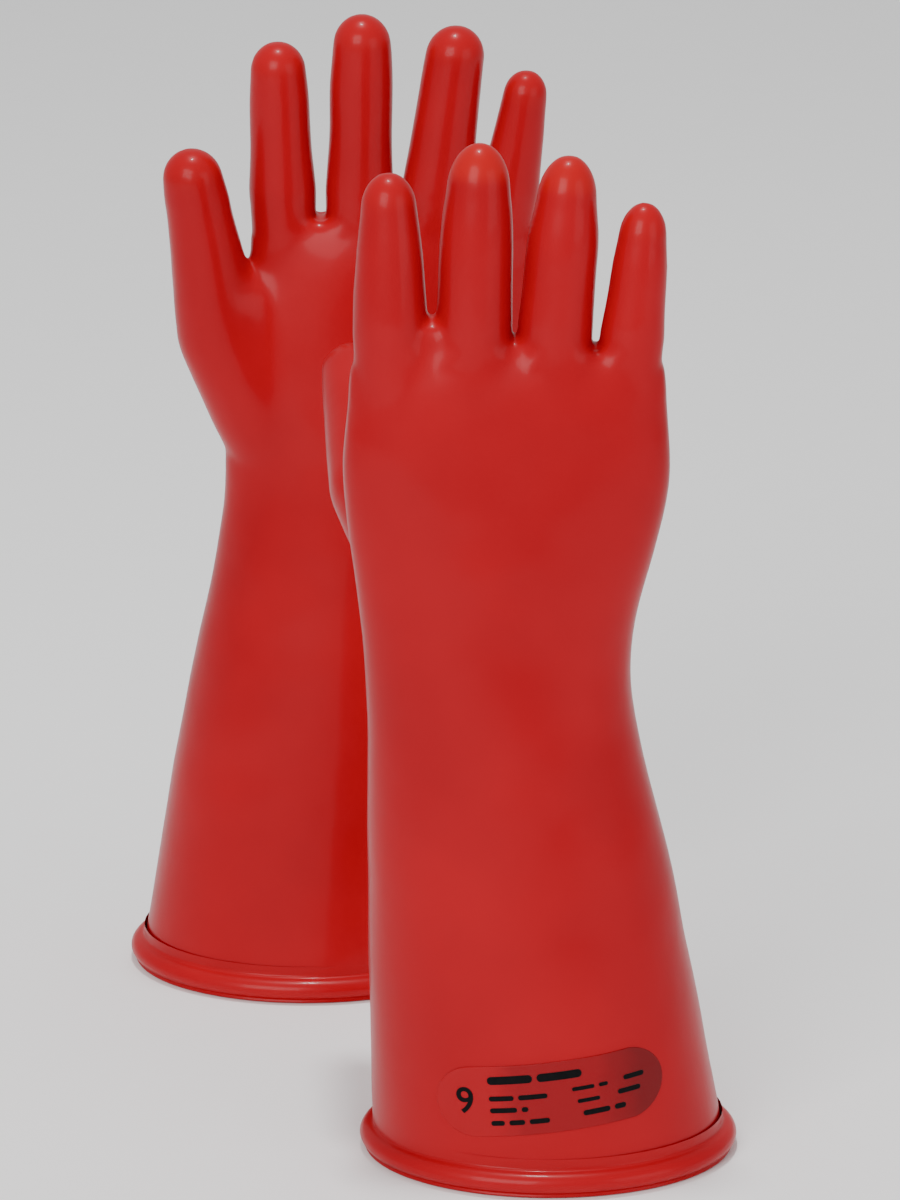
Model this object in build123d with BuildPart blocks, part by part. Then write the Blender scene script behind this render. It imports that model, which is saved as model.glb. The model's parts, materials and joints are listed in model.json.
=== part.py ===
"""A pair of long dipped-rubber insulating gloves, standing upright on their cuff beads.

Millimetres, +Z up. The origin is on the floor, under the middle of the pair. The right glove stands in front,
with its back to -Y, and the left glove stands behind it, with its palm to -Y. Both thumbs are towards -X.

Each glove is one skin of rubber in real life. Here the skin is cut at the lines where it folds, so that each
finger and the hand can bend: a soft fold band lies between every two stiff pieces.
"""

import os
from dataclasses import dataclass

from build123d import *

# The rubber skin
wall = 1.0
seam_gap = 0.3  # between neighbouring pieces of the skin

# Heights of the glove above the floor
wrist_height = 172.0
palm_height = 236.0
knuckle_height = 264.0
web_height = 288.0

# Half widths (across the hand) and half depths (palm to back) of the outside
cuff_half_width = 60.0
cuff_half_depth = 48.0
wrist_half_width = 44.5
wrist_half_depth = 27.0
palm_half_width = 54.5
palm_half_depth = 19.0
knuckle_half_width = 52.5
knuckle_half_depth = 16.0
web_half_width = 49.5
web_half_depth = 8.0
flare_height = 100.0
flare_half_width = 51.5
flare_half_depth = 36.0
level_spacing = 18.0  # between the ovals that the skin is drawn through

# The rolled bead round the cuff
bead_radius = 4.4
bead_land = 3.6  # width of its flat underside

# The soft wrist, between the gauntlet and the hand
wrist_fold_bottom = 130.0
wrist_fold_top = 177.0

# Where the stiff hand is parted into palm and knuckles
palm_split = 218.0

# Where the digits start; their own sizes are further down
fold_start = 2.0  # above the web
finger_root_depth = 26.0  # below the web, inside the palm
thumb_metacarpal = 50.0  # from the thumb's root, inside the palm, to its bend
thumb_root_radius = 15.0
thumb_bend_radius = 17.0
thumb_fold_start = 26.0  # beyond the bend

# The label on the back of each cuff
label_width = 76.0
label_height = 24.0
label_thickness = 0.4
label_centre_height = 34.0
label_tilt = 6.0  # degrees

# How the pair stands
pair_step = (-85.0, 183.0)  # from the right cuff's middle to the left one's


@dataclass
class Digit:
    """Sizes of one finger or thumb, the same in both gloves."""

    name: str
    length: float  # from the web, or from the thumb's bend, to the tip
    root_radius: float
    tip_radius: float
    fold: float  # length of its soft fold band
    offset: float = 0.0  # of a finger from the middle of the palm


INDEX = Digit("index", 54.0, 13.2, 9.8, 23.0, offset=-38.5)
MIDDLE = Digit("middle", 64.0, 13.5, 10.3, 25.0, offset=-11.3)
RING = Digit("ring", 60.0, 13.2, 10.1, 24.0, offset=15.8)
LITTLE = Digit("little", 44.0, 11.2, 8.3, 19.0, offset=41.5)
THUMB = Digit("thumb", 70.0, 13.4, 11.0, 19.0)
FINGERS = (INDEX, MIDDLE, RING, LITTLE)


@dataclass
class Glove:
    """One glove's side and the way it stands. Leans are per unit of height."""

    side: str
    palmward: float  # +1 where the palm faces +Y
    centre: tuple  # middle of the cuff
    flare_shift: float  # sideways shift of the glove's middle line, by height
    wrist_shift: float
    palm_shift: float
    web_shift: float
    leans: dict  # sideways lean of each finger
    curl: float  # palmward lean of the fingers
    thumb_root: tuple  # sideways from the palm's middle, palmward, up
    thumb_metacarpal_aim: tuple
    thumb_aim: tuple
    label_turn: float  # degrees


RIGHT = Glove(
    side="right",
    palmward=1.0,
    centre=(0.0, 0.0),
    flare_shift=-10.0,
    wrist_shift=-17.5,
    palm_shift=-15.0,
    web_shift=-14.5,
    leans={"index": -0.02, "middle": 0.035, "ring": 0.075, "little": 0.09},
    curl=0.06,
    thumb_root=(-24.0, 2.0, 191.0),
    thumb_metacarpal_aim=(-0.42, 0.52, 0.60),
    thumb_aim=(-0.04, 0.88, 0.44),
    label_turn=label_tilt,
)
LEFT = Glove(
    side="left",
    palmward=-1.0,
    centre=pair_step,
    flare_shift=8.0,
    wrist_shift=15.0,
    palm_shift=26.0,
    web_shift=31.0,
    leans={"index": -0.03, "middle": 0.015, "ring": 0.13, "little": 0.15},
    curl=0.04,
    thumb_root=(-24.0, 0.0, 198.0),
    thumb_metacarpal_aim=(-0.62, 0.12, 0.76),
    thumb_aim=(-0.16, 0.08, 0.98),
    label_turn=-label_tilt,
)
GLOVES = (RIGHT, LEFT)


def measured_levels(glove):
    """Height, sideways shift, half width and half depth of the glove's named ovals, cuff to web."""
    return (
        (bead_radius, 0.0, cuff_half_width, cuff_half_depth),
        (flare_height, glove.flare_shift, flare_half_width, flare_half_depth),
        (wrist_height, glove.wrist_shift, wrist_half_width, wrist_half_depth),
        (palm_height, glove.palm_shift, palm_half_width, palm_half_depth),
        (knuckle_height, glove.web_shift, knuckle_half_width, knuckle_half_depth),
        (web_height, glove.web_shift, web_half_width, web_half_depth),
    )


def slope_at(levels, i, column):
    """Rise of one column of the levels per unit of height, through the levels next to level i."""
    low = levels[max(i - 1, 0)]
    high = levels[min(i + 1, len(levels) - 1)]
    return (high[column] - low[column]) / (high[0] - low[0])


def level_between(levels, i, t):
    """The oval a share t of the way from level i to the next, on a smooth cubic."""
    low, high = levels[i], levels[i + 1]
    rise = high[0] - low[0]
    oval = [low[0] + rise * t]
    for column in (1, 2, 3):
        start = slope_at(levels, i, column) * rise
        end = slope_at(levels, i + 1, column) * rise
        change = high[column] - low[column]
        bend = start + end - 2 * change
        oval.append(low[column] + t * (start + t * ((3 * change - 2 * start - end) + t * bend)))
    return tuple(oval)


def body_levels(glove):
    """The named ovals with evenly spaced ones between them."""
    levels = measured_levels(glove)
    ovals = []
    for i in range(len(levels) - 1):
        steps = max(1, round((levels[i + 1][0] - levels[i][0]) / level_spacing))
        ovals += [level_between(levels, i, step / steps) for step in range(steps)]
    return ovals + [levels[-1]]


def body_solid(glove, grow):
    """The gauntlet, wrist and palm as one solid, grown outwards by grow."""
    x, y = glove.centre
    with BuildPart() as body:
        for height, shift, half_width, half_depth in body_levels(glove):
            rise = grow if height == web_height else 0.0
            with BuildSketch(Plane.XY.offset(height + rise)):
                with Locations((x + shift, y)):
                    Ellipse(half_width + grow, half_depth + grow)
        loft()
    return body.part


def finger_plane(glove, digit):
    """Plane across a finger at the web, with its normal along the finger."""
    x, y = glove.centre
    lean = glove.leans[digit.name]
    origin = (x + glove.web_shift + digit.offset, y, web_height)
    return Plane(origin=origin, x_dir=(1, 0, -lean), z_dir=(lean, glove.palmward * glove.curl, 1))


def aim(glove, along):
    """A thumb direction in the glove's own terms, turned into the frame's."""
    sideways, palmward, up = along
    return Vector(sideways, glove.palmward * palmward, up).normalized()


def thumb_root_point(glove):
    """Where the thumb's middle line starts, inside the palm."""
    x, y = glove.centre
    sideways, palmward, up = glove.thumb_root
    return Vector(x + glove.palm_shift + sideways, y + glove.palmward * palmward, up)


def thumb_bend(glove):
    """Where the thumb's middle line turns from the palm's bone to the thumb's own."""
    return thumb_root_point(glove) + aim(glove, glove.thumb_metacarpal_aim) * thumb_metacarpal


def thumb_plane(glove, along):
    """Plane across the thumb, at a distance beyond its bend."""
    outward = aim(glove, glove.thumb_aim)
    return Plane(origin=thumb_bend(glove) + outward * along, x_dir=(1, 0, 0), z_dir=outward)


def tapered_digit(plane, start, length, root_radius, tip_radius):
    """A round finger along the plane's normal, tapered from start to a domed tip."""
    shoulder = length - tip_radius
    profile_plane = Plane(origin=plane.origin, x_dir=plane.x_dir, z_dir=-plane.y_dir)
    with BuildPart() as digit:
        with BuildSketch(profile_plane):
            with BuildLine():
                Polyline(
                    (tip_radius, shoulder), (root_radius, start), (0, start), (0, length)
                )
                CenterArc((0, shoulder), tip_radius, start_angle=0, arc_size=90)
            make_face()
        revolve(axis=Axis(plane.origin, plane.z_dir))
    return digit.part


def finger_solid(glove, digit, grow):
    """One finger with its root in the palm, grown outwards by grow."""
    return tapered_digit(
        finger_plane(glove, digit),
        -finger_root_depth,
        digit.length + grow,
        digit.root_radius + grow,
        digit.tip_radius + grow,
    )


def thumb_tip_solid(glove, grow):
    """The thumb from its fold band to its tip, grown outwards by grow."""
    return tapered_digit(
        thumb_plane(glove, 0.0),
        thumb_fold_start,
        THUMB.length + grow,
        THUMB.root_radius + grow,
        THUMB.tip_radius + grow,
    )


def thumb_base_solid(glove, grow):
    """The thumb from inside the palm to its fold band, grown outwards by grow."""
    bone = aim(glove, glove.thumb_metacarpal_aim)
    across = (1, 0, 0)
    root = Plane(origin=thumb_root_point(glove), x_dir=across, z_dir=bone)
    bend = Plane(origin=thumb_bend(glove), x_dir=across, z_dir=bone + aim(glove, glove.thumb_aim))
    stations = (
        (root, thumb_root_radius),
        (bend, thumb_bend_radius),
        (thumb_plane(glove, thumb_fold_start), THUMB.root_radius),
    )
    with BuildPart() as base:
        for plane, radius in stations:
            with BuildSketch(plane):
                Circle(radius + grow)
        loft()
    return base.part


def between(solid, low, high):
    """The part of a solid between two planes that face the same way."""
    with BuildPart() as piece:
        add(solid)
        if low:
            split(bisect_by=low, keep=Keep.TOP)
        if high:
            split(bisect_by=high, keep=Keep.BOTTOM)
    return piece.part


def hand_solid(glove, grow, open_by):
    """The palm with the roots of its digits, grown outwards by grow and cut open_by short of each fold."""
    with BuildPart() as hand:
        add(between(body_solid(glove, grow), Plane.XY.offset(wrist_fold_top), None))
        for digit in FINGERS:
            top = finger_plane(glove, digit).offset(fold_start - open_by)
            add(between(finger_solid(glove, digit, grow), None, top))
        top = thumb_plane(glove, thumb_fold_start - open_by)
        add(between(thumb_base_solid(glove, grow), Plane.XY.offset(wrist_fold_top), top))
    return hand.part


def make_tube(name, outer, inner, low, high):
    """A stretch of skin between two planes: what outer holds and inner doesn't."""
    with BuildPart() as tube:
        add(between(outer, low, high))
        add(inner, mode=Mode.SUBTRACT)
    tube.part.label = name
    return tube


def make_hand(glove):
    """The palm, open at the wrist, and the knuckles with the roots of the digits, open at each fold."""
    outer = hand_solid(glove, 0.0, seam_gap)
    inner = hand_solid(glove, -wall, 0.0)
    palm_bottom = Plane.XY.offset(wrist_fold_top + seam_gap)
    palm_top = Plane.XY.offset(palm_split)
    return (
        make_tube(f"{glove.side}_palm", outer, inner, palm_bottom, palm_top),
        make_tube(f"{glove.side}_knuckles", outer, inner, palm_top.offset(seam_gap), None),
    )


def make_digit(stem, outer, inner, plane, start, fold):
    """The fold band and the stiff end of one finger or thumb."""
    fold_end = plane.offset(start + fold)
    return (
        make_tube(f"{stem}_fold", outer, inner, plane.offset(start), fold_end),
        make_tube(f"{stem}_tip", outer, inner, fold_end.offset(seam_gap), None),
    )


def make_finger(glove, digit):
    """A finger beyond the web."""
    return make_digit(
        f"{glove.side}_{digit.name}",
        finger_solid(glove, digit, 0.0),
        finger_solid(glove, digit, -wall),
        finger_plane(glove, digit),
        fold_start,
        digit.fold,
    )


def make_thumb(glove):
    """The thumb beyond the ball of the hand."""
    return make_digit(
        f"{glove.side}_{THUMB.name}",
        thumb_tip_solid(glove, 0.0),
        thumb_tip_solid(glove, -wall),
        thumb_plane(glove, 0.0),
        thumb_fold_start,
        THUMB.fold,
    )


def make_gauntlet_and_wrist(glove):
    """The flared gauntlet and the soft wrist above it."""
    outer = body_solid(glove, 0.0)
    inner = body_solid(glove, -wall)
    floor_gap = Plane.XY.offset(bead_radius)
    fold_bottom = Plane.XY.offset(wrist_fold_bottom)
    fold_top = Plane.XY.offset(wrist_fold_top)
    gauntlet_top = fold_bottom.offset(-seam_gap)
    return (
        make_tube(f"{glove.side}_gauntlet", outer, inner, floor_gap, gauntlet_top),
        make_tube(f"{glove.side}_wrist_fold", outer, inner, fold_bottom, fold_top),
    )


def make_bead(glove, gauntlet):
    """The thick rolled rim of the cuff, flat underneath, with the gauntlet's edge bedded in it."""
    x, y = glove.centre
    sink = bead_radius - (bead_radius**2 - (bead_land / 2) ** 2) ** 0.5
    height = bead_radius - sink
    with BuildPart() as bead:
        with BuildLine(Plane.XY.offset(height)) as rim:
            EllipticalCenterArc((x, y), cuff_half_width, cuff_half_depth, arc_size=360)
        with BuildSketch(Plane(origin=rim.line @ 0, x_dir=(1, 0, 0), z_dir=rim.line % 0)):
            Circle(bead_radius)
        sweep()
        split(bisect_by=Plane.XY, keep=Keep.TOP)
        add(gauntlet.part, mode=Mode.SUBTRACT)
    bead.part.label = f"{glove.side}_cuff_bead"
    return bead


def make_label(glove):
    """A thin pill-shaped patch bonded to the back of the cuff, following its curve."""
    x, y = glove.centre
    back = Plane(origin=(x, y, label_centre_height), x_dir=(1, 0, 0), z_dir=(0, -glove.palmward, 0))
    with BuildPart() as label:
        with BuildSketch(back):
            SlotOverall(label_width, label_height, rotation=glove.label_turn)
        extrude(amount=2 * cuff_half_depth)
        add(body_solid(glove, label_thickness), mode=Mode.INTERSECT)
        add(body_solid(glove, 0.0), mode=Mode.SUBTRACT)
    label.part.label = f"{glove.side}_label"
    return label


def glove_pieces(glove):
    """Every piece of one glove."""
    gauntlet, wrist = make_gauntlet_and_wrist(glove)
    pieces = [gauntlet, wrist, *make_hand(glove)]
    pieces += [make_bead(glove, gauntlet), make_label(glove)]
    for digit in FINGERS:
        pieces += make_finger(glove, digit)
    pieces += make_thumb(glove)
    return pieces


def main():
    """Make both gloves, set the origin under their middle and write each piece."""
    pieces = [piece for glove in GLOVES for piece in glove_pieces(glove)]
    boxes = [piece.part.bounding_box() for piece in pieces]
    middle_x = (min(box.min.X for box in boxes) + max(box.max.X for box in boxes)) / 2
    middle_y = (min(box.min.Y for box in boxes) + max(box.max.Y for box in boxes)) / 2
    to_origin = Location((-middle_x, -middle_y, 0.0))
    os.makedirs("parts", exist_ok=True)
    for piece in pieces:
        placed = piece.part.moved(to_origin)
        placed.label = piece.part.label
        export_step(placed, f"parts/{placed.label}.step")


main()
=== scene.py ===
"""A pair of red dipped-rubber insulating gloves standing on their cuffs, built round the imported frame."""

import json
import math

import bpy
import numpy as np
from mathutils import Matrix, Vector

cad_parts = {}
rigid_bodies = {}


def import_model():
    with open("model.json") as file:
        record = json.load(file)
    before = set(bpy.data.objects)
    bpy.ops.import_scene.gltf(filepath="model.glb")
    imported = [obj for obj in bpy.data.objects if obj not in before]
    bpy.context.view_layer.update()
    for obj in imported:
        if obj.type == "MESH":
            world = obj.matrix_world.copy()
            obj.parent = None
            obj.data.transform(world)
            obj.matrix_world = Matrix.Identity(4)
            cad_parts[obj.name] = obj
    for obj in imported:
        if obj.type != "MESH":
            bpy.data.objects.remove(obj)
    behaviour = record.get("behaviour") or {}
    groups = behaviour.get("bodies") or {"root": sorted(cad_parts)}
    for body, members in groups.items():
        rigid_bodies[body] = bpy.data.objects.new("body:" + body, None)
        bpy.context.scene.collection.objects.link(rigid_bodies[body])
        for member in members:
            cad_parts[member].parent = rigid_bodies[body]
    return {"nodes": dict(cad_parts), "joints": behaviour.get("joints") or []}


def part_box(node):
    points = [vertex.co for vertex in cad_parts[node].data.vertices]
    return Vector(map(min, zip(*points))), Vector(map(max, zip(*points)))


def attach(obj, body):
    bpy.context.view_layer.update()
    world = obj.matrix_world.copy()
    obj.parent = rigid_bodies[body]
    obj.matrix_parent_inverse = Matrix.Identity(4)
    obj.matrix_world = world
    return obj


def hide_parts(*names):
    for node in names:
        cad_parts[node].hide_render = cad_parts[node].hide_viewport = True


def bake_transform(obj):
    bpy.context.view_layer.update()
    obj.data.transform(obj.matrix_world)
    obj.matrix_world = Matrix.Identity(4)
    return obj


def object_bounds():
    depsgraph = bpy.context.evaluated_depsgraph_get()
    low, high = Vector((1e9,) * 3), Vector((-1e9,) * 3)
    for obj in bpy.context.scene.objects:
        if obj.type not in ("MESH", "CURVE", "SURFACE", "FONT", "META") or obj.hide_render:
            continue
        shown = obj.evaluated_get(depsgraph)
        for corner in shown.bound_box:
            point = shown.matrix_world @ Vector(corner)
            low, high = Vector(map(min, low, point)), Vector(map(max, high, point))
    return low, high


bl_info = {
    "name": "Insulating Gloves",
    "version": (1, 0, 0),
    "blender": (4, 5, 0),
    "location": "View3D > Sidebar > Gloves",
    "description": "Models a pair of dipped-rubber gloves round their moving frame",
    "category": "Object",
}

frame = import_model()
CAD_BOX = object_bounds()
JOINTS = {joint["name"]: joint for joint in frame["joints"]}
DIGITS = ("thumb", "index", "middle", "ring", "little")
SIDES = ("right", "left")
PALMWARD = {"right": 1.0, "left": -1.0}


# ---------------------------------------------------------------- sizes and colours


class GloveSizes(bpy.types.PropertyGroup):
    """Sizes of one rubber skin."""

    wall: bpy.props.FloatProperty(
        name="Wall", description="Thickness of the dipped rubber", default=0.001, unit="LENGTH"
    )
    voxel: bpy.props.FloatProperty(
        name="Mould grain",
        description="Cell size at which palm and digits are melted into one skin",
        default=0.00095,
        unit="LENGTH",
    )
    melt: bpy.props.IntProperty(
        name="Melt", description="Smoothing passes that round the webs between digits", default=14
    )
    keep: bpy.props.FloatProperty(
        name="Keep", description="Share of the faces kept in the skin", default=0.27, subtype="FACTOR"
    )
    ripple: bpy.props.FloatProperty(
        name="Ripple", description="Height of the soft dipping waves", default=0.0009, unit="LENGTH"
    )


class CuffSizes(bpy.types.PropertyGroup):
    """Sizes of the cuff bead and of the label above it."""

    bead_radius: bpy.props.FloatProperty(
        name="Bead radius", description="Radius of the rolled bead", default=0.0044, unit="LENGTH"
    )
    label_width: bpy.props.FloatProperty(
        name="Label width", description="Length of the pill-shaped label", default=0.076, unit="LENGTH"
    )
    label_height: bpy.props.FloatProperty(
        name="Label height", description="Height of the pill-shaped label", default=0.024, unit="LENGTH"
    )
    label_rise: bpy.props.FloatProperty(
        name="Label rise", description="Height of the label's middle", default=0.034, unit="LENGTH"
    )
    label_tilt: bpy.props.FloatProperty(
        name="Label tilt", description="Tilt of the label", default=math.radians(6), unit="ROTATION"
    )
    film: bpy.props.FloatProperty(
        name="Film", description="Thickness of the label's film", default=0.0004, unit="LENGTH"
    )


class GloveColours(bpy.types.PropertyGroup):
    """Colours of the rubber, the painted highlight on its fingertips, the label and the floor."""

    rubber: bpy.props.FloatVectorProperty(
        name="Rubber", description="Red of the rubber", default=(0.400, 0.0006, 0.0070), subtype="COLOR"
    )
    deep: bpy.props.FloatVectorProperty(
        name="Deep rubber",
        description="Red where the rubber is thick",
        default=(0.350, 0.0004, 0.0060),
        subtype="COLOR",
    )
    # Painted highlight: a lighter red on the tops of the fingertips, where the light from above falls on
    # them.
    tip_highlight: bpy.props.FloatVectorProperty(
        name="Painted tip highlight",
        description="Lighter red painted as a highlight on the fingertips",
        default=(0.440, 0.0045, 0.0060),
        subtype="COLOR",
    )
    film: bpy.props.FloatVectorProperty(
        name="Film",
        description="Red of the label's film",
        default=(0.360, 0.0006, 0.0060),
        subtype="COLOR",
    )
    ink: bpy.props.FloatVectorProperty(
        name="Ink", description="Black of the print", default=(0.0016, 0.0016, 0.0018), subtype="COLOR"
    )
    floor: bpy.props.FloatVectorProperty(
        name="Floor", description="Pale floor", default=(0.94, 0.94, 0.94), subtype="COLOR"
    )


# ---------------------------------------------------------------- small helpers


def deselect():
    """Nothing selected and no active object."""
    if bpy.context.object and bpy.context.object.mode != "OBJECT":
        bpy.ops.object.mode_set(mode="OBJECT")
    bpy.ops.object.select_all(action="DESELECT")


def activate(*objects):
    """Exactly these objects selected, the first one active."""
    deselect()
    for one in objects:
        one.select_set(True)
    bpy.context.view_layer.objects.active = objects[0]


def settle(piece):
    """Put the piece's place into its mesh."""
    activate(piece)
    bpy.ops.object.transform_apply(location=True, rotation=True, scale=True)


def apply_modifier(piece, kind, **settings):
    """Add one modifier and apply it."""
    activate(piece)
    modifier = piece.modifiers.new(kind.title(), kind)
    for name, value in settings.items():
        setattr(modifier, name, value)
    bpy.ops.object.modifier_apply(modifier=modifier.name)


def join(name, pieces):
    """All the pieces as one object."""
    activate(*pieces)
    bpy.ops.object.join()
    pieces[0].name = name
    pieces[0].data.name = name
    return pieces[0]


def points_of(piece):
    """The mesh's vertices as an array."""
    points = np.empty(len(piece.data.vertices) * 3)
    piece.data.vertices.foreach_get("co", points)
    return points.reshape(-1, 3)


def place_points(piece, points):
    """Move the mesh's vertices."""
    piece.data.vertices.foreach_set("co", points.ravel())
    piece.data.update()


def face_middles(piece):
    """The middles of the mesh's faces as an array."""
    middles = np.empty(len(piece.data.polygons) * 3)
    piece.data.polygons.foreach_get("center", middles)
    return middles.reshape(-1, 3)


def select_faces(piece, chosen):
    """Select these faces and nothing else of the piece."""
    mesh = piece.data
    activate(piece)
    mesh.vertices.foreach_set("select", np.zeros(len(mesh.vertices), bool))
    mesh.edges.foreach_set("select", np.zeros(len(mesh.edges), bool))
    mesh.polygons.foreach_set("select", np.asarray(chosen, bool))
    bpy.ops.object.mode_set(mode="EDIT")
    bpy.ops.mesh.select_mode(type="FACE")
    bpy.ops.object.mode_set(mode="OBJECT")


def smooth_share(values, low, high):
    """0 below low, 1 above high and a smooth step between."""
    share = np.clip((values - low) / (high - low), 0, 1)
    return share * share * (3 - 2 * share)


def ring_tube(name, rings, sides=64):
    """A closed tube drawn through rings of (middle, half width, half depth), extruded ring by ring."""
    deselect()
    middle, half_width, half_depth = rings[0]
    bpy.ops.mesh.primitive_circle_add(vertices=sides, radius=1.0, fill_type="NGON")
    tube = bpy.context.object
    tube.name = name
    bpy.ops.object.mode_set(mode="EDIT")
    bpy.ops.mesh.select_mode(type="FACE")
    bpy.ops.mesh.select_all(action="SELECT")
    bpy.ops.transform.resize(value=(half_width, half_depth, 1.0), center_override=(0, 0, 0))
    bpy.ops.transform.translate(value=middle)
    for ring in rings[1:]:
        step = Vector(ring[0]) - Vector(middle)
        bpy.ops.mesh.extrude_region_move(TRANSFORM_OT_translate={"value": step})
        middle = ring[0]
        across = (ring[1] / half_width, ring[2] / half_depth, 1.0)
        bpy.ops.transform.resize(value=across, center_override=middle)
        half_width, half_depth = ring[1], ring[2]
    bpy.ops.mesh.select_all(action="SELECT")
    bpy.ops.mesh.normals_make_consistent(inside=False)
    bpy.ops.object.mode_set(mode="OBJECT")
    return tube


# ---------------------------------------------------------------- what the frame says


def node_points(node):
    """Vertices of one CAD node."""
    return points_of(frame["nodes"][node])


def cuff_middle(side):
    """Middle of a glove's cuff, on the floor."""
    low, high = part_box(f"{side}_cuff_bead")
    return Vector(((low[0] + high[0]) / 2, (low[1] + high[1]) / 2, low[2]))


RIM_BAND = 0.0006  # thickness of the slice that counts as a stiff end's rim
AXIS_TRIES = 4


def digit_axis(side, digit):
    """A digit's hinge, its line's direction, and the rim and tip of its stiff end along that line."""
    hinge = np.array(JOINTS[f"{side}_{digit}_flex"]["pos_m"])
    points = node_points(f"{side}_{digit}_tip")
    along = points.mean(axis=0) - hinge
    for _ in range(AXIS_TRIES):
        along = along / np.linalg.norm(along)
        reach = (points - hinge) @ along
        rim = points[reach < reach.min() + RIM_BAND]
        along = rim.mean(axis=0) - hinge
    along = along / np.linalg.norm(along)
    if digit == "thumb":
        along[0] += THUMB_LEANS[side]
        along = along / np.linalg.norm(along)
    reach = (points - hinge) @ along
    return {"hinge": Vector(hinge), "along": Vector(along), "rim": reach.min(), "tip": reach.max()}


# ---------------------------------------------------------------- materials


def new_material(name):
    """A material with an empty node tree but for its shader."""
    material = bpy.data.materials.new(name)
    material.use_nodes = True
    tree = material.node_tree
    return material, tree.nodes, tree.links, tree.nodes["Principled BSDF"]


def add_node(nodes, kind, **inputs):
    """A shader node with some inputs set."""
    node = nodes.new(kind)
    for name, value in inputs.items():
        node.inputs[name.replace("_", " ")].default_value = value
    return node


def noise_at(nodes, links, place, scale, detail):
    """Noise on the piece's own coordinates."""
    noise = add_node(nodes, "ShaderNodeTexNoise", Scale=scale, Detail=detail)
    links.new(place.outputs["Object"], noise.inputs["Vector"])
    return noise


def mixed(nodes, links, share, first, second):
    """A colour mixed from two, by a share that another node gives."""
    mix = nodes.new("ShaderNodeMix")
    mix.data_type = "RGBA"
    links.new(share, mix.inputs[0])
    for socket, colour in ((mix.inputs[6], first), (mix.inputs[7], second)):
        if isinstance(colour, bpy.types.NodeSocket):
            links.new(colour, socket)
        else:
            socket.default_value = (*colour, 1.0)
    return mix.outputs[2]


# Noise scales of the rubber, per metre: clouds of colour, smears of gloss, soft waves and the skin's grain
CLOUD_SCALE = 16.0
SMEAR_SCALE = 55.0
WAVE_SCALE = 45.0
GRAIN_SCALE = 1400.0
WAVE_HEIGHT = 0.0012
GRAIN_HEIGHT = 0.00012
GRAIN_STRENGTH = 0.16
GLOSS_RANGE = (0.27, 0.42)  # roughness
SKIN_WAVES = 0.25
BEAD_WAVES = 0.12


def rubber_material(name, colours, waves, with_tip_highlight):
    """Glossy dipped latex: cloudy red, soft waves, a fine skin and a painted highlight on the fingertips.
    """
    material, nodes, links, shader = new_material(name)
    place = nodes.new("ShaderNodeTexCoord")
    cloud = noise_at(nodes, links, place, CLOUD_SCALE, 3.0)
    cloudy = add_node(nodes, "ShaderNodeMapRange", From_Min=0.35, From_Max=0.65)
    links.new(cloud.outputs["Fac"], cloudy.inputs["Value"])
    colour = mixed(nodes, links, cloudy.outputs["Result"], colours.deep, colours.rubber)
    # Painted highlight: the fingertips turn a lighter red by the share that their points carry.
    if with_tip_highlight:
        tip_highlight = nodes.new("ShaderNodeAttribute")
        tip_highlight.attribute_name = "painted_tip_highlight"
        colour = mixed(nodes, links, tip_highlight.outputs["Fac"], colour, colours.tip_highlight)
    links.new(colour, shader.inputs["Base Color"])
    smears = noise_at(nodes, links, place, SMEAR_SCALE, 4.0)
    gloss = add_node(nodes, "ShaderNodeMapRange", To_Min=GLOSS_RANGE[0], To_Max=GLOSS_RANGE[1])
    links.new(smears.outputs["Fac"], gloss.inputs["Value"])
    links.new(gloss.outputs["Result"], shader.inputs["Roughness"])
    soft = noise_at(nodes, links, place, WAVE_SCALE, 2.0)
    soft_bump = add_node(nodes, "ShaderNodeBump", Strength=waves, Distance=WAVE_HEIGHT)
    links.new(soft.outputs["Fac"], soft_bump.inputs["Height"])
    fine = noise_at(nodes, links, place, GRAIN_SCALE, 3.0)
    fine_bump = add_node(nodes, "ShaderNodeBump", Strength=GRAIN_STRENGTH, Distance=GRAIN_HEIGHT)
    links.new(fine.outputs["Fac"], fine_bump.inputs["Height"])
    links.new(soft_bump.outputs["Normal"], fine_bump.inputs["Normal"])
    links.new(fine_bump.outputs["Normal"], shader.inputs["Normal"])
    shader.inputs["Specular IOR Level"].default_value = 0.12
    shader.inputs["Coat Weight"].default_value = 0.10
    shader.inputs["Coat Roughness"].default_value = 0.10
    return material


# The film's colour along the label, with painted reflections: where the dimmer middle and the darkest end
# start, with a wavy edge
FILM_EDGE_WAVE = 0.16
DIM_REFLECTION_FROM, DIM_REFLECTION_FULL = 0.34, 0.44
DARK_REFLECTION_FROM, DARK_REFLECTION_FULL = 0.80, 0.98
DIM_REFLECTION_SHARE = 0.72
DARK_REFLECTION_SHARE = 0.42


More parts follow.
